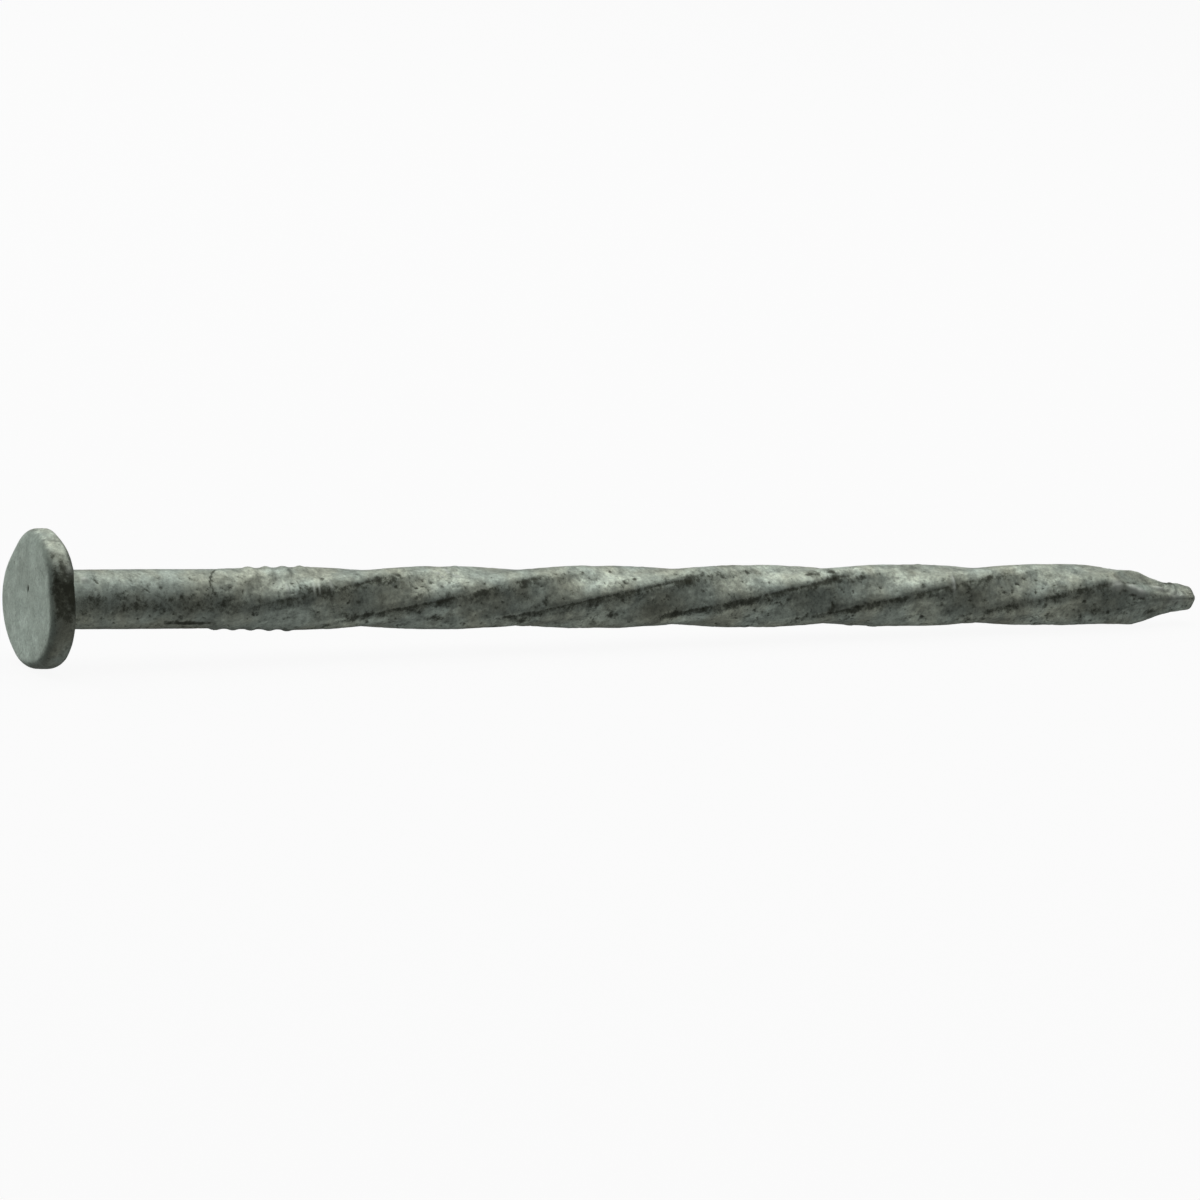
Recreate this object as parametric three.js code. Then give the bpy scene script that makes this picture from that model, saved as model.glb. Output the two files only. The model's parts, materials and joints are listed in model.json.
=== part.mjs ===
// A hot-dip galvanised spiral-shank nail: one cold-headed steel wire inside its zinc coating.
// Millimetres. The nail lies along X with its head on -X and its point on +X. The origin is on the
// shank's axis in the plane of the head's underside, from which a nail's length is measured.
// Angles about the nail are right-handed about +X and start at +Z, so -90 degrees is +Y.
import * as THREE from "three";

const { degToRad, lerp, smoothstep } = THREE.MathUtils;

// Driving dimensions, over the zinc.
const LENGTH = 63.5; // underside of the head to the tip, 2 1/2 in
const SHANK_RADIUS = 1.47; // 0.113 in wire and its zinc
const HEAD_RADIUS = 3.73;
const HEAD_THICKNESS = 1.32;
const FACE_EDGE_RADIUS = 0.55;
const UNDER_EDGE_RADIUS = 0.41;
const NECK_FILLET = 0.25; // between the head's underside and the shank

// Cold heading leaves the rim a little out of round: shallow dents, each spread to both sides.
const RIM_DENTS = [
  { angle: degToRad(-149), depth: 0.28, spread: degToRad(34) },
  { angle: degToRad(-48), depth: 0.41, spread: degToRad(29) },
  { angle: degToRad(16), depth: 0.35, spread: degToRad(30) },
  { angle: degToRad(72), depth: 0.45, spread: degToRad(27) },
  { angle: degToRad(165), depth: 0.26, spread: degToRad(26) },
];

// Past its round neck the wire is rolled to a rounded square and twisted left-handed.
const SQUARE_HALF_SIDE = 1.39;
const SQUARE_CORNER_RADIUS = 0.945;
const SQUARE_START = 7.8;
const SQUARE_FULL = 13; // the square is fully formed from here on
const TWIST_LEAD = 34.15; // axial length of one full turn
const FIRST_FLAT_ANGLE = degToRad(-8); // middle of a flat where the square starts

// Grip marks: cross ridges left by the wire grips, in one row on the shank's lower side and one,
// which starts later, on its upper side.
const GRIP_PITCH = 0.96;
const GRIP_HEIGHT = 0.075;
const LOWER_GRIP = { start: 8.22, ridges: 5 };
const UPPER_GRIP = { start: LOWER_GRIP.start + 1.75 * GRIP_PITCH, ridges: 4 };
const GRIP_END = UPPER_GRIP.start + UPPER_GRIP.ridges * GRIP_PITCH;
const GRIP_FULL_ANGLE = degToRad(15); // the ridges have their full height this far from +Z and -Z
const GRIP_FADED_ANGLE = degToRad(42); // and fade out here

// A blunt diamond point: four steep bevels cut into the twisted shank, then a slimmer nib.
const POINT_START = 58.1;
const POINT_START_HALF_SIDE = 1.59; // just over the shank's corners, so the bevels start at nothing
const NIB_START = 61.65;
const NIB_HALF_SIDE = 0.68;
const TIP_HALF_SIDE = 0.45;
const TIP_ROUNDING = 0.36; // axial length of the rounded end
const POINT_CORNER_SHARE = 0.45; // corner radius over half side
const POINT_FLAT_ANGLE = degToRad(34);
const POINT_DROP = 0.2; // the cutters leave the point a little low, from here to here
const DROP_START = 57;
const DROP_END = 60.5;

// The bond line keeps the zinc and the steel two separate solids.
const ZINC_THICKNESS = 0.06;
const BOND_LINE = 0.01;

// Facets.
const FACETS_AROUND = 36;
const FIRST_EDGE_ANGLE = Math.PI / FACETS_AROUND; // from a flat's middle, so that corners are edges
const ARC_DIVISIONS = 2; // of the head's rounded edges and fillet, each making two facets
const GRIP_STEP = GRIP_PITCH / 4;
const TWIST_STEP = 1.2;
const BEVEL_STEP = 0.6;
const TIP_TURN_STEP = degToRad(30);

// Polar radius of a rounded square, at an angle from the middle of one of its flats.
function squareRadius(angle, halfSide, cornerRadius) {
  const quarter = Math.PI / 2;
  const offFlat = Math.abs(angle - quarter * Math.round(angle / quarter));
  const cornerCentre = halfSide - cornerRadius;
  if (halfSide * Math.tan(offFlat) <= cornerCentre) return halfSide / Math.cos(offFlat);
  const along = cornerCentre * (Math.cos(offFlat) + Math.sin(offFlat));
  const across = cornerCentre * (Math.cos(offFlat) - Math.sin(offFlat));
  return along + Math.sqrt(cornerRadius ** 2 - across ** 2);
}

// Angle of the middle of a flat at a place along the nail.
function flatAngle(s) {
  return FIRST_FLAT_ANGLE - (2 * Math.PI * Math.max(0, s - SQUARE_START)) / TWIST_LEAD;
}

// Height of the grip marks, which are saw-shaped along the nail and fade out on its sides.
function gripHeight(s, angle) {
  const { start, ridges } = Math.cos(angle) > 0 ? UPPER_GRIP : LOWER_GRIP;
  const pitches = (s - start) / GRIP_PITCH;
  if (pitches < 0 || pitches > ridges) return 0;
  const ridge = 1 - 2 * Math.abs(pitches - Math.floor(pitches) - 0.5);
  const upright = Math.abs(Math.cos(angle));
  const spread = smoothstep(upright, Math.cos(GRIP_FADED_ANGLE), Math.cos(GRIP_FULL_ANGLE));
  return GRIP_HEIGHT * ridge * spread;
}

// Half side of the point's square at a place along the nail.
function pointHalfSide(s) {
  if (s < NIB_START) {
    const along = (s - POINT_START) / (NIB_START - POINT_START);
    return lerp(POINT_START_HALF_SIDE, NIB_HALF_SIDE, along);
  }
  return lerp(NIB_HALF_SIDE, TIP_HALF_SIDE, (s - NIB_START) / (LENGTH - NIB_START));
}

// Radius of the zinc's surface along the shank.
function shankRadius(s, angle) {
  const square = squareRadius(angle - flatAngle(s), SQUARE_HALF_SIDE, SQUARE_CORNER_RADIUS);
  const rolled = lerp(SHANK_RADIUS, square, smoothstep(s, SQUARE_START, SQUARE_FULL));
  const shank = rolled + gripHeight(s, angle);
  if (s < POINT_START) return shank;
  const half = pointHalfSide(s);
  return Math.min(shank, squareRadius(angle - POINT_FLAT_ANGLE, half, POINT_CORNER_SHARE * half));
}

// How far the rim's dents cut into the head at an angle.
function rimCut(angle) {
  return RIM_DENTS.reduce((cut, dent) => {
    const turns = (angle - dent.angle) / (2 * Math.PI);
    const offDent = 2 * Math.PI * (turns - Math.round(turns));
    return cut + dent.depth * Math.exp(-((offDent / dent.spread) ** 2));
  }, 0);
}

// Half outline of the head, from the middle of its top to the neck. An outline's points hold the
// radius, the place along the nail and the inset from the zinc's surface.
function headOutline(inset) {
  const faceEdge = HEAD_RADIUS - FACE_EDGE_RADIUS;
  const underEdge = HEAD_RADIUS - UNDER_EDGE_RADIUS;
  const filletCentre = SHANK_RADIUS + NECK_FILLET;
  const path = new THREE.Path();
  path.moveTo(0, inset - HEAD_THICKNESS);
  path.lineTo(faceEdge, inset - HEAD_THICKNESS);
  path.absarc(faceEdge, FACE_EDGE_RADIUS - HEAD_THICKNESS, FACE_EDGE_RADIUS - inset, -Math.PI / 2, 0);
  path.absarc(underEdge, -UNDER_EDGE_RADIUS, UNDER_EDGE_RADIUS - inset, 0, Math.PI / 2);
  path.absarc(filletCentre, NECK_FILLET, NECK_FILLET + inset, -Math.PI / 2, -Math.PI, true);
  return path.getPoints(ARC_DIVISIONS).map(({ x, y }) => new THREE.Vector3(x, y, inset));
}

// Evenly spaced places from one to another, about a step apart, without the first.
function placesBetween(from, to, step) {
  const count = Math.round((to - from) / step);
  return Array.from({ length: count }, (_, i) => lerp(from, to, (i + 1) / count));
}

// Half outline of the shank from the neck to the tip, as a plain round shank with a rounded end.
function shankOutline(inset, start) {
  const tipStart = LENGTH - TIP_ROUNDING;
  const side = SHANK_RADIUS - inset;
  const stations = [
    start,
    SQUARE_START,
    LOWER_GRIP.start,
    ...placesBetween(LOWER_GRIP.start, GRIP_END, GRIP_STEP),
    ...placesBetween(GRIP_END, POINT_START, TWIST_STEP),
    ...placesBetween(POINT_START, NIB_START, BEVEL_STEP),
    ...placesBetween(NIB_START, tipStart, BEVEL_STEP),
  ];
  const sides = stations.map((s) => new THREE.Vector3(side, s, inset));
  const tip = placesBetween(0, Math.PI / 2, TIP_TURN_STEP).map((turn) => {
    const s = tipStart + (TIP_ROUNDING - inset) * Math.sin(turn);
    return new THREE.Vector3(side * Math.cos(turn), s, inset);
  });
  tip.at(-1).setX(0);
  return [...sides, ...tip];
}

// Splits each quad that runs backwards along the nail by its other diagonal, so that the facets of
// a coat's inner wall are parallel to those of its outer wall and of the steel.
function alignDiagonals(geometry, outline) {
  const index = geometry.getIndex();
  for (let i = 0; i < index.count; i += 6) {
    const [here, , next, opposite] = [0, 1, 2, 3].map((k) => index.getX(i + k));
    if (outline[next % outline.length].y < outline[here % outline.length].y) {
      index.setX(i + 2, opposite);
      index.setX(i + 5, here);
    }
  }
}

// Turns a half outline round the axis, then shapes the rim, the twisted shank and the point.
function nailMesh(name, outline, material) {
  const geometry = new THREE.LatheGeometry(outline, FACETS_AROUND, FIRST_EDGE_ANGLE);
  alignDiagonals(geometry, outline);
  const position = geometry.getAttribute("position");
  for (let i = 0; i < position.count; i++) {
    const { x: turned, y: s, z: inset } = outline[i % outline.length];
    const angle = Math.atan2(position.getX(i), position.getZ(i)) + flatAngle(s);
    const onRim = smoothstep(turned, SHANK_RADIUS + NECK_FILLET, HEAD_RADIUS - FACE_EDGE_RADIUS);
    const headRadius = turned - onRim * rimCut(angle);
    const shapedRadius = (turned * (shankRadius(s, angle) - inset)) / (SHANK_RADIUS - inset);
    const radius = s < NECK_FILLET ? headRadius : shapedRadius;
    const drop = POINT_DROP * smoothstep(s, DROP_START, DROP_END);
    position.setXYZ(i, radius * Math.sin(angle), s, radius * Math.cos(angle) - drop);
  }
  geometry.computeVertexNormals();
  const mesh = new THREE.Mesh(geometry, material);
  mesh.name = name;
  return mesh;
}

const steel = new THREE.MeshStandardMaterial({ color: 0x8b8d90, roughness: 0.45, metalness: 1 });
const zinc = new THREE.MeshStandardMaterial({ color: 0x80877f, roughness: 0.6, metalness: 0.8 });

// One wire from end to end: head, round neck, twisted shank and point.
function steelCore() {
  const inset = ZINC_THICKNESS + BOND_LINE;
  const outline = [...headOutline(inset), ...shankOutline(inset, NECK_FILLET).slice(1)];
  return nailMesh("steel_core", outline, steel);
}

// The zinc over the head's top, rim and underside, with the fillet at the neck.
function zincHeadCoat() {
  const outline = [...headOutline(0), ...headOutline(ZINC_THICKNESS).reverse()];
  return nailMesh("zinc_head_coat", outline, zinc);
}

// The zinc over the shank: a sleeve from the end of the head's zinc, closed over the tip.
function zincShankCoat() {
  const start = NECK_FILLET + BOND_LINE;
  const outline = [...shankOutline(ZINC_THICKNESS, start).reverse(), ...shankOutline(0, start)];
  return nailMesh("zinc_shank_coat", outline, zinc);
}

const nail = new THREE.Group();
nail.name = "spiral_shank_nail";
nail.rotation.z = -Math.PI / 2; // the turned outlines' +Y becomes the nail's +X
nail.add(steelCore(), zincHeadCoat(), zincShankCoat());

export default nail;
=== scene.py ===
"""Looks of a hot-dip galvanised spiral-shank nail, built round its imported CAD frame.

The nail lies along +X, with its head on -X. Its own sizes are in millimetres and Blender's are in
metres. Angles about the nail are right-handed about +X and start at +Z, so -90 degrees is +Y.
"""

import json
import math

import bpy
import numpy as np
from mathutils import Matrix, Vector, noise


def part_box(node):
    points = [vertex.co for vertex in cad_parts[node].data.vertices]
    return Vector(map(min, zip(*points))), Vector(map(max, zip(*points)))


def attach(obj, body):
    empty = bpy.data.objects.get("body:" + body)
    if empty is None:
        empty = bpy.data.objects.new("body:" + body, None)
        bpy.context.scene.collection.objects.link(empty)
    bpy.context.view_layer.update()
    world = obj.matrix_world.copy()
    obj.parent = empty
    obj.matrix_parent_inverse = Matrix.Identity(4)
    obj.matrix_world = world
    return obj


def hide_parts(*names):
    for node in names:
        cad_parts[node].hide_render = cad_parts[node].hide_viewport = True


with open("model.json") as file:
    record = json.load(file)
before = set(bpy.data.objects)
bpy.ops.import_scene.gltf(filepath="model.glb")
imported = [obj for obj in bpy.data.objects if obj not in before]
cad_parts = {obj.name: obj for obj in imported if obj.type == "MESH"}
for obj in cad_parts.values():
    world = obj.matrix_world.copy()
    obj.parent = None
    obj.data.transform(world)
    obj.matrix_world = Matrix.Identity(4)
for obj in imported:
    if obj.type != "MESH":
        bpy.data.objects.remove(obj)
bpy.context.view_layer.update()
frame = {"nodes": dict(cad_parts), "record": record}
MM = 0.001

# Driving dimensions, from the frame.
SHANK = next(m for m in frame["record"]["mounts"] if m["name"] == "shank_in_timber")["dims"]
LENGTH = SHANK["length_mm"]
SHANK_RADIUS = SHANK["r_mm"]
HEAD_LOW, HEAD_HIGH = (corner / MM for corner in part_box("zinc_head_coat"))
HEAD_THICKNESS = -HEAD_LOW.x
HEAD_RADIUS = 1.0166 * HEAD_HIGH.y  # the rim's dents reach all round it

# The head's shape.
FACE_EDGE_RADIUS = 0.55
UNDER_EDGE_RADIUS = 0.41
NECK_FILLET = 0.25
FACE_DOME = 0.03
# Cold heading leaves the rim a little out of round. Each dent has an angle, a depth and a spread.
RIM_DENTS = [(-149, 0.28, 34), (-48, 0.41, 29), (16, 0.35, 30), (72, 0.45, 27), (165, 0.26, 26)]

# The rolled and twisted shank.
SQUARE_HALF_SIDE = 0.9456 * SHANK_RADIUS
SQUARE_CORNER_RADIUS = 0.6429 * SHANK_RADIUS
SQUARE_START = 7.8
SQUARE_FULL = 13
TWIST_LEAD = 34.15
FIRST_FLAT_ANGLE = math.radians(-8)

# Grip marks: where each row starts and how many ridges it has.
GRIP_PITCH = 0.96
GRIP_HEIGHT = 0.075
LOWER_GRIP_START, LOWER_GRIP_RIDGES = 8.22, 5
UPPER_GRIP_START, UPPER_GRIP_RIDGES = LOWER_GRIP_START + 1.75 * GRIP_PITCH, 4
GRIP_FULL_ANGLE = math.radians(15)
GRIP_FADED_ANGLE = math.radians(42)

# The diamond point.
NIB_START = LENGTH - 1.85
POINT_START = NIB_START - 3.55
POINT_START_HALF_SIDE = 1.59
NIB_HALF_SIDE = 0.68
TIP_HALF_SIDE = 0.45
TIP_ROUNDING = 0.36
POINT_CORNER_SHARE = 0.45
POINT_FLAT_ANGLE = math.radians(34)
POINT_DROP = 0.2
DROP_START, DROP_END = 57, 60.5

# Centres of the marks in the zinc: a place along the nail and an angle in degrees.
TICKS = [(11.97, 61), (13.36, 60), (13.66, 60), (14.33, 54)]
TICK_SMUDGE = [(13.8, 66)]
SLIVER = [(48.9, 57)]
BESIDE_SLIVER = [(49.25, 57)]
# Raised specks that are painted with glints.
GLINT_SPECKS = [(20.4, 22), (20.6, 31), (20.9, 10), (20.95, 14), (21.0, 19), (21.25, 24), (21.45, 29)]
# Painted highlights: paler patches where the lobes catch the light.
HIGHLIGHT_PATCHES = [(20.2, 33), (28, 46), (36.4, 44), (46, 28), (46.8, 46), (54.4, 36), (59.6, 50)]
DROSS_SPOTS = [(15.8, 88), (16.9, 39), (18.2, 33), (19.1, 107), (28.3, 23), (29.9, 17), (31.0, 44),
               (34.8, 68), (37.5, 23), (39.5, 87), (50.8, 131), (53.0, 7), (56.4, 93)]
DROSS_BLOBS = [(15.5, 116), (20.2, 125), (24.9, 125), (29.9, 118), (41.0, 32), (42.2, 27), (42.3, 46),
               (57.3, 115)]
NECK_BLOB = [(1.25, 38)]
NECK_LENS = [(6.9, 134)]
RIM_LUMP = [(-0.3, 53)]
POINT_LUMPS = [(60.25, -11), (62.6, -11), (58.4, 55), (60.0, 100)]
POINT_PALE_LUMPS = [(58.3, 60), (59.3, 60), (59.7, 65), (61.2, 42)]
# Creases at the point, sunk and painted dark: painted shade in them.
SHADED_POINT_CREASES = [(58.75, 68), (59.3, 75), (59.7, 81)]
POINT_SMUDGES = [(60.6, 130), (62.95, 58), (61.9, -5)]
NIB_SHEEN = [(62.2, 75)]

# What the marks do: their centres, strength, half-length along the nail and half-width round it. The
# strength of a raised mark is its height, and sunk ones are negative. The others' goes from 0 to 1.
RAISED_MARKS = [
    (TICKS, 0.045, 0.04, 0.3),
    (POINT_LUMPS, 0.07, 0.34, 0.26),
    (POINT_PALE_LUMPS, 0.09, 0.36, 0.24),
    (SHADED_POINT_CREASES, -0.045, 0.3, 0.1),
    (SLIVER, 0.09, 0.07, 0.42),
    (BESIDE_SLIVER, -0.035, 0.22, 0.42),
    (GLINT_SPECKS, 0.03, 0.07, 0.05),
    (NECK_BLOB, 0.09, 0.16, 0.14),
    (RIM_LUMP, 0.05, 0.25, 0.09),
]
DARK_MARKS = [
    (DROSS_SPOTS, 0.6, 0.16, 0.13),
    (NECK_LENS, 0.9, 1.35, 0.15),
    (TICK_SMUDGE, 0.55, 1.3, 0.4),
    # Painted shade in the point's creases.
    (SHADED_POINT_CREASES, 0.8, 0.3, 0.1),
    (POINT_SMUDGES, 0.62, 0.42, 0.34),
]
RAGGED_DARK_MARKS = [(DROSS_BLOBS, 0.55, 0.5, 0.26)]
PALE_LUMP_MARKS = [(POINT_PALE_LUMPS, 1, 0.36, 0.24)]
# Painted highlights on the lobes.
HIGHLIGHT_PATCH_MARKS = [(HIGHLIGHT_PATCHES, 1, 1.4, 0.5)]
# Marks painted bright: painted highlights and glints on the raised specks, ticks, sliver, lumps and blobs,
# partly clean zinc, and a painted sheen on the nib.
BRIGHT_MARKS = [
    (GLINT_SPECKS, 1, 0.08, 0.05),
    (SLIVER, 1, 0.08, 0.42),
    (TICKS, 0.6, 0.055, 0.28),
    (POINT_PALE_LUMPS, 0.85, 0.36, 0.24),
    (NIB_SHEEN, 0.4, 0.6, 0.7),
    (NECK_BLOB, 0.7, 0.16, 0.14),
    (RIM_LUMP, 0.4, 0.25, 0.09),
]
FACE_NICK = (-0.08, 0.54)  # across the head's face, along Y and Z
FACE_NICK_DEPTH = 0.06

# The scalloped edge where the smooth zinc of the neck ends and the rough zinc begins.
STEP_PLACE = 7.95
STEP_SCALLOP = 1.2
STEP_ANGLE = math.radians(50)
STEP_HEIGHT = 0.03

# The zinc's unevenness: the height, the size and the seed of each layer of bumps.
UNEVENNESS = [(0.018, 3.1, 1), (0.014, 1.3, 2), (0.011, 0.55, 3), (0.006, 0.25, 4)]
LUMP_HEIGHT = 0.03
LINE_DEPTH = 0.035
PIT_DEPTH = 0.035
CRACK_DEPTH = 0.02

# The dark line beside each corner is partly dross and partly a painted dark reflection, and the band at it
# is painted shade. The band is wider below the line than above it.
TOP_ANGLE = math.radians(-11)  # the nail's top side, towards the overhead light
LINE_DRIFT = math.radians(14)
LINE_HALF_WIDTH = math.radians(5)
BAND_HALF_WIDTH = math.radians(9)
BAND_SOFT = math.radians(9)
BAND_SHARP = math.radians(4)
# Painted shade: dark bands along the neck's and the rim's sides that face the camera.
NECK_SHADE_ANGLE, NECK_SHADE_HALF_WIDTH = 88, 0.55
RIM_SHADE_ANGLE, RIM_SHADE_HALF_WIDTH = 72, 0.6

# The zinc is only a little thicker than this over the steel, so nothing goes deeper.
DEEPEST_PIT = 0.045

# Colours of the zinc, as red, green and blue.
DARK_ZINC = (0.47, 0.508, 0.449)
LIGHT_ZINC = (0.59, 0.643, 0.578)
WARM_TINT = (1.0, 0.985, 0.9)
COOL_TINT = (0.95, 1.0, 0.98)
FACE_TINT = (0.99, 1.078, 1.045, 1)
# Paints dross and painted shade alike.
DROSS_AND_SHADE_COLOUR = (0.085, 0.092, 0.066, 1)
# Paints highlights and glints, partly clean zinc.
HIGHLIGHT_AND_CLEAN_ZINC = (0.82, 0.88, 0.8, 1)
DROSS_ROUGHNESS = 0.8

# Mesh steps in millimetres, and the columns round the nail.
COLUMNS = 128
SHANK_STEP = 0.093
HEAD_STEP = 0.12
EDGE_STEP = 0.09

# The camera looks at the nail's near side, a little from the head's end and from above.
CAMERA_AZIMUTH = math.radians(-25.6)
CAMERA_ELEVATION = math.radians(10)
NAIL_RISE = math.radians(0.29)  # the nail's slope in the picture
CAMERA_DISTANCE = 535.7 * MM
CAMERA_LENS = 320
CAMERA_AIM = Vector((29.7, 0, -0.165)) * MM

# The studio, in metres: each square light's name, place, size and radiance.
STUDIO_LIGHTS = [
    ("overhead_softbox", (0.05, 0.22, 0.8), 1.25, 1.08),
    ("front_fill", (0.39, -0.62, 0.61), 0.55, 0.45),
    ("back_right_softbox", (0.5, 0.95, 0.05), 0.95, 0.26),
    ("back_left_softbox", (-0.42, 0.95, 0.02), 1.05, 0.75),
    ("low_bounce", (0.28, -0.12, -0.6), 0.8, 0.22),
]
ROOM_GREY = 0.085
BACKDROP_GREY = 0.07
BACKDROP_GLOW = 0.925
BACKDROP_RADIUS = 0.9
BACKDROP_BEND = 0.35
BACKDROP_HEIGHT = 0.9
BACKDROP_COLUMNS = 96
BACKDROP_BEND_STEP = 7.5


def smoothstep(value, low, high):
    share = np.clip((value - low) / (high - low), 0, 1)
    return share * share * (3 - 2 * share)


def square_radius(angle, half_side, corner_radius):
    """Polar radius of a rounded square, at an angle from the middle of one of its flats."""
    off_flat = np.abs(angle - np.pi / 2 * np.round(angle / (np.pi / 2)))
    corner_centre = half_side - corner_radius
    along = corner_centre * (np.cos(off_flat) + np.sin(off_flat))
    across = corner_centre * (np.cos(off_flat) - np.sin(off_flat))
    corner = along + np.sqrt(np.maximum(corner_radius**2 - across**2, 0))
    on_flat = half_side * np.tan(off_flat) <= corner_centre
    return np.where(on_flat, half_side / np.cos(off_flat), corner)


def flat_angle(place):
    """Angle of the middle of a flat, at a place along the nail. The twist is left-handed."""
    return FIRST_FLAT_ANGLE - 2 * np.pi * np.maximum(0, place - SQUARE_START) / TWIST_LEAD


def grip_row(place, start, ridges):
    """A row of narrow rounded ridges along the nail, from 0 to 1."""
    pitches = (place - start) / GRIP_PITCH
    wave = 0.5 - 0.5 * np.cos(2 * np.pi * pitches)
    return np.where((pitches > 0) & (pitches < ridges), wave**2, 0)


def grip_height(place, angle):
    """Height of the grip marks on the shank's upper and lower sides."""
    upper = grip_row(place, UPPER_GRIP_START, UPPER_GRIP_RIDGES)
    lower = grip_row(place, LOWER_GRIP_START, LOWER_GRIP_RIDGES)
    row = np.where(np.cos(angle) > 0, upper, lower)
    upright = np.abs(np.cos(angle))
    return GRIP_HEIGHT * row * smoothstep(upright, math.cos(GRIP_FADED_ANGLE), math.cos(GRIP_FULL_ANGLE))


def point_half_side(place):
    bevels = np.interp(place, [POINT_START, NIB_START], [POINT_START_HALF_SIDE, NIB_HALF_SIDE])
    nib = np.interp(place, [NIB_START, LENGTH], [NIB_HALF_SIDE, TIP_HALF_SIDE])
    return np.where(place < NIB_START, bevels, nib)


def shank_radius(place, angle):
    """Radius of the zinc's surface along the shank, before its unevenness."""
    square = square_radius(angle - flat_angle(place), SQUARE_HALF_SIDE, SQUARE_CORNER_RADIUS)
    rolled = SHANK_RADIUS + (square - SHANK_RADIUS) * smoothstep(place, SQUARE_START, SQUARE_FULL)
    shank = rolled + grip_height(place, angle)
    half_side = point_half_side(place)
    point = square_radius(angle - POINT_FLAT_ANGLE, half_side, POINT_CORNER_SHARE * half_side)
    return np.where(place < POINT_START, shank, np.minimum(shank, point))


def wrapped(angle):
    """The same angle between -180 and 180 degrees, in radians."""
    return angle - 2 * np.pi * np.round(angle / (2 * np.pi))


def rim_cut(angle):
    """How far the rim's dents cut into the head."""
    dents = ((math.radians(at), depth, math.radians(spread)) for at, depth, spread in RIM_DENTS)
    return sum(depth * np.exp(-((wrapped(angle - at) / spread) ** 2)) for at, depth, spread in dents)


def line_points(start, end, step):
    """Points (radius, place) from start to end, without start."""
    start, end = np.array(start), np.array(end)
    count = max(1, round(np.linalg.norm(end - start) / step))
    return [start + (end - start) * (i + 1) / count for i in range(count)]


def arc_points(centre, radius, start, end, step):
    """Points (radius, place) on an arc from one angle to another in degrees, without the first."""
    count = max(1, round(radius * math.radians(abs(end - start)) / step))
    turns = np.radians(start + (end - start) * np.arange(1, count + 1) / count)
    return [np.array(centre) + radius * np.array((math.cos(t), math.sin(t))) for t in turns]


def nail_outline():
    """Half outline (radius, place) from the head's face to the tip, without the end on the axis.

    The shank's radius is the plain neck's, and shank_radius shapes it afterwards.
    """
    face, top = HEAD_RADIUS - FACE_EDGE_RADIUS, FACE_EDGE_RADIUS - HEAD_THICKNESS
    under, bottom = HEAD_RADIUS - UNDER_EDGE_RADIUS, -UNDER_EDGE_RADIUS
    fillet = SHANK_RADIUS + NECK_FILLET
    tip = LENGTH - TIP_ROUNDING
    rounding = np.radians([15, 30, 45, 60, 75])
    return np.array(
        line_points((0, -HEAD_THICKNESS), (face, -HEAD_THICKNESS), HEAD_STEP)
        + arc_points((face, top), FACE_EDGE_RADIUS, -90, 0, EDGE_STEP)
        + line_points((HEAD_RADIUS, top), (HEAD_RADIUS, bottom), EDGE_STEP)
        + arc_points((under, bottom), UNDER_EDGE_RADIUS, 0, 90, EDGE_STEP)
        + line_points((under, 0), (fillet, 0), HEAD_STEP)
        + arc_points((fillet, NECK_FILLET), NECK_FILLET, -90, -180, EDGE_STEP)
        + line_points((SHANK_RADIUS, NECK_FILLET), (SHANK_RADIUS, tip), SHANK_STEP)
        + [(SHANK_RADIUS * math.cos(t), tip + TIP_ROUNDING * math.sin(t)) for t in rounding]
    )


def nail_points():
    """The smooth nail's surface as a grid of points, with each one's place and angle."""
    turned, place = nail_outline().T[:, :, None]
    angle = 2 * np.pi * np.arange(COLUMNS) / COLUMNS + flat_angle(place)
    on_rim = smoothstep(turned, SHANK_RADIUS + NECK_FILLET, HEAD_RADIUS - FACE_EDGE_RADIUS)
    head = turned - on_rim * rim_cut(angle)
    shank = turned * shank_radius(place, angle) / SHANK_RADIUS
    radius = np.where(place < NECK_FILLET, head, shank)
    place = place + np.zeros_like(angle)
    drop = POINT_DROP * smoothstep(place, DROP_START, DROP_END)
    points = np.stack([place, -radius * np.sin(angle), radius * np.cos(angle) - drop], axis=-1)
    return points, place, angle


def grid_normals(points):
    """Outward normals of the grid."""
    along = np.gradient(points, axis=0)
    around = np.roll(points, -1, axis=1) - np.roll(points, 1, axis=1)
    normals = np.cross(around, along)
    return normals / np.linalg.norm(normals, axis=-1, keepdims=True)


def bumps(points, size, seed):
    """Smooth noise from about -1 to 1, with bumps of about a size in millimetres."""
    shifted = points.reshape(-1, 3) / size + 31.7 * seed
    return np.array([noise.noise(p) for p in shifted.tolist()]).reshape(points.shape[:-1])


def from_corner(place, angle):
    """Angle from the nearest corner of the twisted square. It is positive on the corner's later side."""
    turned = angle - flat_angle(place) - math.radians(45)
    return turned - np.pi / 2 * np.round(turned / (np.pi / 2))


def streaks(place, angle, size, stretch, seed):
    """Noise that is drawn out along the twist."""
    turned = angle - flat_angle(place)
    across = SHANK_RADIUS * np.cos(turned), SHANK_RADIUS * np.sin(turned)
    return bumps(np.stack([place / stretch, *across], axis=-1), size, seed)


def side_band(angle, middle, half_width):
    """A soft band along the nail, from 0 to 1. Its middle is an angle in degrees."""
    across = SHANK_RADIUS * wrapped(angle - math.radians(middle))
    return np.exp(-((across / half_width) ** 2))


def spots(place, angle, centres, half_length, half_width):
    """Soft oval spots, from 0 to 1."""
    return np.max([np.exp(-(((place - at) / half_length) ** 2)) * side_band(angle, middle, half_width)
                   for at, middle in centres], axis=0)


def marks(place, angle, table):
    """Each of a table of marks, times its strength."""
    return [strength * spots(place, angle, centres, half_length, half_width)
            for centres, strength, half_length, half_width in table]


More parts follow.
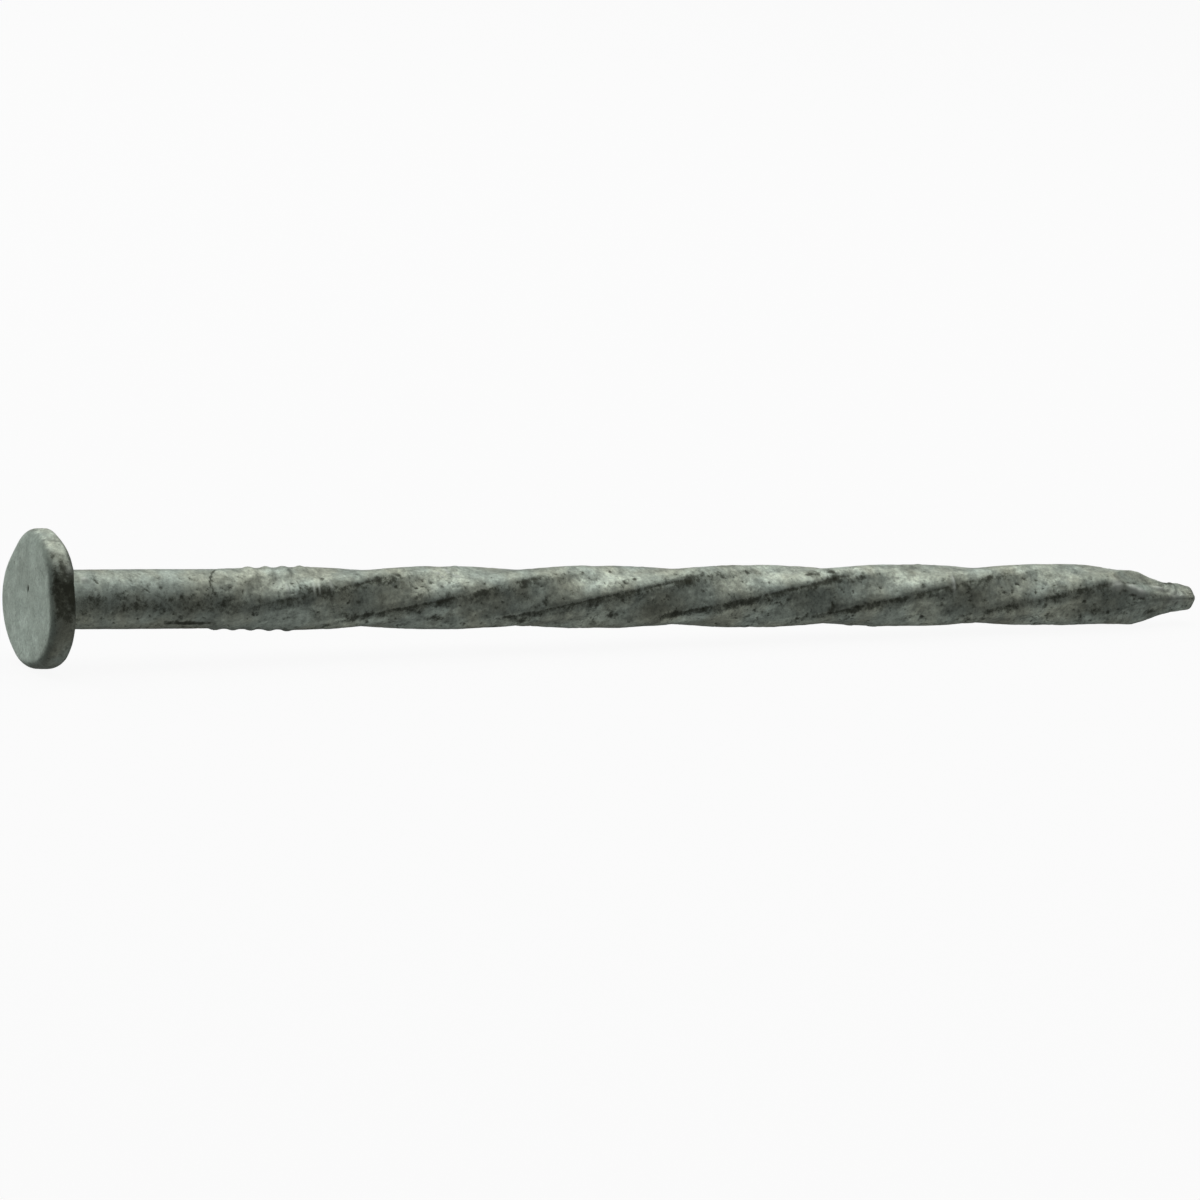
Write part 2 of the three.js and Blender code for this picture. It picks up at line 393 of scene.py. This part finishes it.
def face_nick(points, half_width, half_height):
    """The nick in the head's face, from 0 to 1."""
    off_nick = (points[..., 1:] - FACE_NICK) / (half_width, half_height)
    return np.exp(-(off_nick**2).sum(axis=-1))


def along_twist(place):
    """How far the square is formed, from 0 on the round neck and at the point to 1."""
    return smoothstep(place, SQUARE_START, SQUARE_FULL) * (1 - smoothstep(place, POINT_START, NIB_START))


def from_line(place, angle):
    """Angle from the wavy line beside each corner, partly dross and partly a painted dark reflection, which
    keeps to the nail's two sides.
    """
    waver = 0.06 * streaks(place, angle, 0.8, 3, 21) + 0.04 * streaks(place, angle, 0.3, 2, 23)
    drift = LINE_DRIFT * np.sin(2 * (angle - TOP_ANGLE))
    return from_corner(place, angle) - drift - waver


def on_line(place, angle):
    """The line itself, from 0 to 1, in the stretches where it shows."""
    line = np.exp(-((from_line(place, angle) / LINE_HALF_WIDTH) ** 2)) * along_twist(place)
    return line * smoothstep(streaks(place, angle, 1.6, 2.5, 22), -0.5, 0.1)


def below_line(place, angle):
    """The painted shade band at the line, from 0 to 1. Its upper edge is sharp and its lower one is soft."""
    across = from_line(place, angle)
    sideways = np.sin(angle - TOP_ANGLE)
    half_width = BAND_HALF_WIDTH + np.where(across * sideways > 0, BAND_SOFT, -BAND_SHARP) * np.abs(sideways)
    return np.exp(-((across / half_width) ** 2)) * along_twist(place)


def past_step(place, angle):
    """Distance along the nail past the scalloped edge of the rough zinc."""
    return place - STEP_PLACE - STEP_SCALLOP * np.sin(angle - STEP_ANGLE) ** 2


def lit_top_side(angle):
    """1 on the nail's top side, towards the overhead light, which is painted lighter with fewer dark marks,
    and 0 round the rest of it.
    """
    return smoothstep(np.cos(angle - TOP_ANGLE), 0.5, 0.92)


def side_shade_share(angle):
    """1 round the nail's sides, where the painted shade bands and the dark line show, fading towards its top
    and its bottom.
    """
    return (1 - lit_top_side(angle)) * smoothstep(np.cos(angle - TOP_ANGLE), -0.88, -0.5)


def pits(points):
    """Small sharp pits in the zinc, from 0 to 1."""
    small = smoothstep(bumps(points, 0.26, 5), 0.44, 0.64)
    large = smoothstep(bumps(points, 0.55, 6) + 0.25 * bumps(points, 0.17, 8), 0.56, 0.74)
    return np.maximum(small, large)


def cracks(points):
    """Short wandering cracks in patches, from 0 to 1."""
    line = np.exp(-(((bumps(points, 0.55, 31) + 0.3 * bumps(points, 0.2, 32)) / 0.07) ** 2))
    return line * smoothstep(bumps(points, 1.2, 33), 0.1, 0.35)


def face_share(place):
    """1 on the head's face and 0 elsewhere."""
    return smoothstep(-place, HEAD_THICKNESS - 0.3, HEAD_THICKNESS - 0.02)


def zinc_height(points, place, angle):
    """Unevenness of the dipped zinc, in millimetres."""
    face = face_share(place)
    beyond = past_step(place, angle)
    rough = 0.6 + 0.4 * smoothstep(beyond, -0.1, 0) + smoothstep(place, 58, 60.5)
    uneven = sum(height * bumps(points, size, seed) for height, size, seed in UNEVENNESS)
    uneven += LUMP_HEIGHT * smoothstep(bumps(points, 0.7, 7), 0.4, 0.62)
    height = rough * uneven
    height -= LINE_DEPTH * on_line(place, angle)
    height -= PIT_DEPTH * pits(points) * (1 - 0.7 * lit_top_side(angle))
    height -= CRACK_DEPTH * cracks(points)
    height *= 1 - 0.85 * face

    height += STEP_HEIGHT * (smoothstep(beyond, -0.05, 0.03) - smoothstep(beyond, 0.3, 2.5))
    height += np.sum(marks(place, angle, RAISED_MARKS), axis=0)

    radius = np.linalg.norm(points[..., 1:], axis=-1)
    height += face * FACE_DOME * (1 - (radius / HEAD_RADIUS) ** 2)
    height -= face * FACE_NICK_DEPTH * face_nick(points, 0.07, 0.13)
    return np.maximum(height, -DEEPEST_PIT)


def dross_and_shade_mask(points, place, angle, on_rim):
    """Where the zinc is dark with dross or with painted shade, before the painted highlights."""
    face = face_share(place)
    beyond = past_step(place, angle)
    cleaner = 1 - 0.3 * smoothstep(place, 38, 48)  # towards the point
    lit_top = lit_top_side(angle)
    shown = side_shade_share(angle)

    # Painted shade: the band at each corner's line, shown round the nail's sides.
    band = 0.56 * below_line(place, angle) * shown * cleaner * (1 + 0.9 * bumps(points, 0.9, 17))
    # Painted shade down the neck's side that faces the camera.
    neck_shade = 0.3 * side_band(angle, NECK_SHADE_ANGLE, NECK_SHADE_HALF_WIDTH)
    neck_shade *= (1 - smoothstep(beyond, -0.5, 3)) * (place > NECK_FILLET)
    neck_shade *= 1 + streaks(place, angle, 0.5, 2.5, 19)
    # The line's dark is partly dross and partly a painted dark reflection.
    line = 0.62 * on_line(place, angle) * shown
    # The lit top side gets fewer dark pits, cracks and clouds: painted light.
    holes = 0.45 * np.maximum(pits(points), cracks(points)) * (1 - 0.8 * lit_top)
    scatter = smoothstep(bumps(points, 0.5, 11) + 0.6 * bumps(points, 0.2, 12), 0.05, 0.65)
    cloud = smoothstep(streaks(place, angle, 1.7, 2.2, 13), -0.15, 0.45)
    clouds = 0.4 * scatter * cloud * (1 - 0.7 * lit_top) * cleaner
    # Painted shade along the foot of the step.
    step_line = 0.6 * np.exp(-(((beyond + 0.04) / 0.075) ** 2)) * smoothstep(np.cos(angle), -0.2, 0.5)
    ragged = np.max(marks(place, angle, RAGGED_DARK_MARKS), axis=0) * (1 + bumps(points, 0.5, 35))
    dross = [band, neck_shade, line, holes, clouds, step_line, ragged, *marks(place, angle, DARK_MARKS)]
    # The rim is painted with fewer dark marks: painted light that keeps its top as pale as the face.
    dross = np.max(dross, axis=0) * (1 - 0.9 * face) * (1 - 0.7 * on_rim)

    # Painted shade on the rim's side that faces the camera.
    rim_shade = 0.95 * on_rim * side_band(angle, RIM_SHADE_ANGLE, RIM_SHADE_HALF_WIDTH)
    rim_shade *= 1 + 0.5 * bumps(points, 0.6, 14)
    # Painted shade in the nick.
    nick = 0.8 * face * face_nick(points, 0.09, 0.15)
    return np.max([dross, rim_shade, nick], axis=0)


def frost_and_highlight_mask(points, place, angle, on_rim, pale_lumps):
    """Where the rough zinc is frosted and grainy, with painted highlights: paler patches on the lobes, the
    pale lumps, and the rim's top.
    """
    beyond = past_step(place, angle)
    frost = smoothstep(streaks(place, angle, 2.4, 1.4, 15) + 0.3 * bumps(points, 0.8, 16), 0, 0.45)
    frost = (0.25 + 0.35 * frost) * (0.3 + 0.7 * smoothstep(beyond, 2, 6))
    pale = np.max(marks(place, angle, HIGHLIGHT_PATCH_MARKS), axis=0) * (0.85 + 0.5 * bumps(points, 0.7, 34))
    frost = np.max([frost, np.clip(pale, 0, 1), pale_lumps], axis=0) * smoothstep(beyond, -0.1, 0.1)
    # The rim's top is painted paler: painted light.
    return np.maximum(frost, 0.7 * on_rim * lit_top_side(angle)) * (1 - face_share(place))


def zinc_masks(points, place, angle):
    """Where the zinc is dark with dross or painted shade, frosted or painted paler, or painted bright with
    highlights and glints, and where the face is, each from 0 to 1.
    """
    face = face_share(place)
    undented = np.linalg.norm(points[..., 1:], axis=-1) + rim_cut(angle)
    on_rim = smoothstep(undented, HEAD_RADIUS - 0.6, HEAD_RADIUS - 0.3) * (1 - face)
    pale_lumps = np.max(marks(place, angle, PALE_LUMP_MARKS), axis=0)
    # Painted highlights and glints.
    bright = np.max(marks(place, angle, BRIGHT_MARKS), axis=0)
    dross = dross_and_shade_mask(points, place, angle, on_rim) * (1 - pale_lumps)
    return {
        "dross": np.clip(dross, 0, 1) * (1 - bright),
        "frost": frost_and_highlight_mask(points, place, angle, on_rim, pale_lumps),
        "spark": bright,
        "face": face,
    }


def grid_mesh(name, points, start, end):
    """A closed mesh from a grid of points in millimetres, with a pole at each end."""
    rows, columns = points.shape[:2]
    vertices = np.vstack([points.reshape(-1, 3), start, end]) * MM
    here = np.arange(rows * columns).reshape(rows, columns)
    side = np.roll(here, -1, axis=1)
    quads = np.stack([here[:-1], side[:-1], side[1:], here[1:]], axis=-1).reshape(-1, 4)
    first = [(rows * columns, b, a) for a, b in zip(here[0], side[0])]
    last = [(rows * columns + 1, a, b) for a, b in zip(here[-1], side[-1])]
    mesh = bpy.data.meshes.new(name)
    mesh.from_pydata(vertices.tolist(), [], quads.tolist() + first + last)
    mesh.polygons.foreach_set("use_smooth", [True] * len(mesh.polygons))
    mesh.update()
    return mesh


def add_object(name, data):
    made = bpy.data.objects.new(name, data)
    bpy.context.scene.collection.objects.link(made)
    return made


def zinc_coating(material):
    """The whole unbroken skin of zinc."""
    points, place, angle = nail_points()
    height = zinc_height(points, place, angle)
    surface = points + grid_normals(points) * height[..., None]
    start = (surface[0, :, 0].mean(), 0, 0)
    coating = add_object("zinc_coating", grid_mesh("zinc_coating", surface, start, (LENGTH, 0, 0)))
    for name, mask in zinc_masks(points, place, angle).items():
        values = np.append(mask.ravel(), (mask[0].mean(), mask[-1].mean()))
        coating.data.attributes.new(name, "FLOAT", "POINT").data.foreach_set("value", values)
    coating.data.materials.append(material)
    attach(coating, "root")
    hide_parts("zinc_head_coat", "zinc_shank_coat")
    return coating


class Nodes:
    """Adds shader nodes to a new material."""

    def __init__(self, name):
        self.material = bpy.data.materials.new(name)
        self.material.use_nodes = True
        self.tree = self.material.node_tree
        self.shader = self.tree.nodes["Principled BSDF"]
        place = self.tree.nodes.new("ShaderNodeTexCoord")
        scale = self.tree.nodes.new("ShaderNodeVectorMath")
        scale.operation = "SCALE"
        scale.inputs["Scale"].default_value = 1 / MM
        self.tree.links.new(place.outputs["Object"], scale.inputs[0])
        self.millimetres = scale.outputs[0]

    def noise(self, size, detail, roughness):
        node = self.tree.nodes.new("ShaderNodeTexNoise")
        node.inputs["Scale"].default_value = 1 / size
        node.inputs["Detail"].default_value = detail
        node.inputs["Roughness"].default_value = roughness
        self.tree.links.new(self.millimetres, node.inputs["Vector"])
        return node.outputs["Fac"]

    def attribute(self, name):
        node = self.tree.nodes.new("ShaderNodeAttribute")
        node.attribute_name = name
        return node.outputs["Fac"]

    def ramp(self, value, stops):
        """A colour ramp; each stop is a position and a grey or a colour."""
        node = self.tree.nodes.new("ShaderNodeValToRGB")
        elements = node.color_ramp.elements
        while len(elements) < len(stops):
            elements.new(0.5)
        for element, (position, colour) in zip(elements, stops):
            element.position = position
            rgb = (colour,) * 3 if isinstance(colour, (int, float)) else colour
            element.color = (*rgb, 1)
        self.tree.links.new(value, node.inputs["Fac"])
        return node.outputs["Color"]

    def mix(self, how, share, first, second):
        """Mixes two colours. The share is a number or a socket."""
        node = self.tree.nodes.new("ShaderNodeMix")
        node.data_type = "RGBA"
        node.blend_type = how
        sockets = {s.identifier: s for s in node.inputs}
        for key, value in (("Factor_Float", share), ("A_Color", first), ("B_Color", second)):
            if isinstance(value, bpy.types.NodeSocket):
                self.tree.links.new(value, sockets[key])
            else:
                sockets[key].default_value = value
        return next(s for s in node.outputs if s.identifier == "Result_Color")

    def bump(self, height, strength, distance):
        node = self.tree.nodes.new("ShaderNodeBump")
        node.inputs["Strength"].default_value = strength
        node.inputs["Distance"].default_value = distance
        self.tree.links.new(height, node.inputs["Height"])
        self.tree.links.new(node.outputs["Normal"], self.shader.inputs["Normal"])

    def link(self, value, socket):
        self.tree.links.new(value, self.shader.inputs[socket])


def zinc_material():
    """Dull, mottled hot-dip zinc with dark dross in its hollows and painted shade, frosted patches, and
    painted highlights and glints.
    """
    nodes = Nodes("hot_dip_zinc")
    dross, frost, spark, face = (nodes.attribute(name) for name in ("dross", "frost", "spark", "face"))
    patches = nodes.noise(3.4, 3, 0.55)
    tint = nodes.noise(1.9, 3, 0.5)
    mottle = nodes.noise(0.7, 6, 0.72)
    speckle = nodes.noise(0.16, 4, 0.7)

    grey = nodes.ramp(patches, [(0.36, DARK_ZINC), (0.64, LIGHT_ZINC)])
    tints = nodes.ramp(tint, [(0.36, WARM_TINT), (0.62, COOL_TINT)])
    tinted = nodes.mix("MULTIPLY", 1.0, grey, nodes.mix("MIX", face, tints, FACE_TINT))
    spotty = nodes.ramp(mottle, [(0.34, 0.68), (0.5, 1.0), (0.68, 1.2)])
    even = nodes.ramp(mottle, [(0.34, 0.95), (0.68, 1.05)])
    mottled = nodes.mix("MULTIPLY", 1.0, tinted, nodes.mix("MIX", face, spotty, even))
    grains = nodes.ramp(speckle, [(0.3, 0.86), (0.5, 1.24), (0.7, 1.58)])
    faint_grains = nodes.ramp(speckle, [(0.3, 0.66), (0.5, 0.88), (0.7, 1.05)])
    frosting = nodes.ramp(nodes.mix("LINEAR_LIGHT", 0.7, frost, mottle), [(0.1, 0), (0.9, 1)])
    grainy = nodes.mix("MULTIPLY", 1.0, mottled, nodes.mix("MIX", frosting, faint_grains, grains))
    ragged = nodes.mix("LINEAR_LIGHT", 1.0, dross, nodes.noise(0.33, 6, 0.75))
    dirt_and_shade = nodes.ramp(ragged, [(0.16, 0), (0.5, 0.72), (0.9, 1)])
    dirty_and_shaded = nodes.mix("MIX", dirt_and_shade, grainy, DROSS_AND_SHADE_COLOUR)
    nodes.link(nodes.mix("MIX", spark, dirty_and_shaded, HIGHLIGHT_AND_CLEAN_ZINC), "Base Color")

    smooth = nodes.ramp(mottle, [(0.35, 0.58), (0.65, 0.46)])
    nodes.link(nodes.mix("MIX", dirt_and_shade, smooth, (DROSS_ROUGHNESS,) * 3 + (1,)), "Roughness")
    nodes.link(nodes.ramp(spark, [(0, 0.75), (1, 0.2)]), "Metallic")
    nodes.bump(speckle, 0.45, 0.02 * MM)
    return nodes.material


def steel_material():
    """Bright drawn wire under the zinc, with a fine noisy grain."""
    nodes = Nodes("drawn_steel")
    scale = nodes.noise(0.9, 5, 0.6)
    fine = nodes.noise(0.12, 4, 0.7)
    nodes.link(nodes.ramp(scale, [(0.3, (0.34, 0.35, 0.36)), (0.7, (0.58, 0.59, 0.6))]), "Base Color")
    nodes.link(nodes.ramp(fine, [(0.3, 0.3), (0.7, 0.5)]), "Roughness")
    nodes.shader.inputs["Metallic"].default_value = 1
    nodes.bump(fine, 0.3, 0.01 * MM)
    return nodes.material


def area_light(name, place, size, radiance):
    """A square soft light that faces the nail, in metres. The radiance is the same over its face."""
    data = bpy.data.lights.new(name, "AREA")
    data.size = size
    data.energy = radiance * math.pi * size**2
    light = add_object(name, data)
    light.location = place
    light.rotation_euler = (CAMERA_AIM - light.location).to_track_quat("-Z", "Y").to_euler()
    light.visible_camera = False


def studio_lights():
    for name, place, size, radiance in STUDIO_LIGHTS:
        area_light(name, place, size, radiance)
    world = bpy.data.worlds.new("dim_room")
    world.use_nodes = True
    background = world.node_tree.nodes["Background"]
    background.inputs["Color"].default_value = (ROOM_GREY,) * 3 + (1,)
    bpy.context.scene.world = world


def floor_plane(coating):
    """The plane that the nail rests on: (a point under the head's rim, the slope along X)."""
    co = np.zeros(len(coating.data.vertices) * 3)
    coating.data.vertices.foreach_get("co", co)
    x, z = co.reshape(-1, 3)[:, 0], co.reshape(-1, 3)[:, 2]
    rim = np.argmin(z)
    shank = x > LENGTH / 2 * MM
    slope = np.min((z[shank] - z[rim]) / (x[shank] - x[rim]))
    return Vector((x[rim], 0, z[rim])), slope


def backdrop(coating):
    """A pale floor that curves up to a wall all round, so that no view shows an edge."""
    flat, columns = BACKDROP_RADIUS - BACKDROP_BEND, BACKDROP_COLUMNS
    bend = np.radians(np.arange(BACKDROP_BEND_STEP, 90.1, BACKDROP_BEND_STEP))
    outline = [(flat, 0)]
    outline += [(flat + BACKDROP_BEND * math.sin(t), BACKDROP_BEND * (1 - math.cos(t))) for t in bend]
    outline += [(BACKDROP_RADIUS, BACKDROP_HEIGHT)]
    turns = 2 * np.pi * np.arange(columns) / columns
    vertices = [(0, 0, 0)] + [(r * math.cos(t), r * math.sin(t), h) for r, h in outline for t in turns]
    faces = [(0, 1 + i, 1 + (i + 1) % columns) for i in range(columns)]
    for row in range(len(outline) - 1):
        start = 1 + row * columns
        for i in range(columns):
            j = (i + 1) % columns
            faces.append((start + i, start + j, start + columns + j, start + columns + i))
    mesh = bpy.data.meshes.new("backdrop")
    mesh.from_pydata(vertices, [], faces)
    mesh.polygons.foreach_set("use_smooth", [True] * len(faces))
    floor = add_object("backdrop", mesh)
    rim, slope = floor_plane(coating)
    floor.matrix_world = Matrix.Translation(rim) @ Matrix.Rotation(-math.atan(slope), 4, "Y")
    floor.visible_diffuse = False
    floor.visible_glossy = False
    floor.visible_shadow = False
    floor.data.materials.append(backdrop_material())


def backdrop_material():
    """Pale paper that is lit from all sides, so that shadows on it stay faint."""
    material = bpy.data.materials.new("pale_backdrop")
    material.use_nodes = True
    shader = material.node_tree.nodes["Principled BSDF"]
    shader.inputs["Base Color"].default_value = (BACKDROP_GREY,) * 3 + (1,)
    shader.inputs["Roughness"].default_value = 0.9
    shader.inputs["Specular IOR Level"].default_value = 0
    shader.inputs["Emission Color"].default_value = (1, 1, 1, 1)
    shader.inputs["Emission Strength"].default_value = BACKDROP_GLOW
    return material


def camera():
    data = bpy.data.cameras.new("camera")
    data.lens = CAMERA_LENS
    data.clip_start = 0.01
    data.clip_end = 10
    made = add_object("camera", data)
    back = Vector((
        math.sin(CAMERA_AZIMUTH) * math.cos(CAMERA_ELEVATION),
        -math.cos(CAMERA_AZIMUTH) * math.cos(CAMERA_ELEVATION),
        math.sin(CAMERA_ELEVATION),
    ))
    along_nail = (Vector((1, 0, 0)) - back.x * back).normalized()
    right = Matrix.Rotation(-NAIL_RISE, 3, back) @ along_nail
    turn = Matrix((right, back.cross(right), back)).transposed().to_4x4()
    made.matrix_world = Matrix.Translation(CAMERA_AIM + CAMERA_DISTANCE * back) @ turn
    bpy.context.scene.camera = made


camera()
coating = zinc_coating(zinc_material())
frame["nodes"]["steel_core"].material_slots[0].material = steel_material()
backdrop(coating)
studio_lights()
bpy.context.scene.view_settings.view_transform = "Standard"
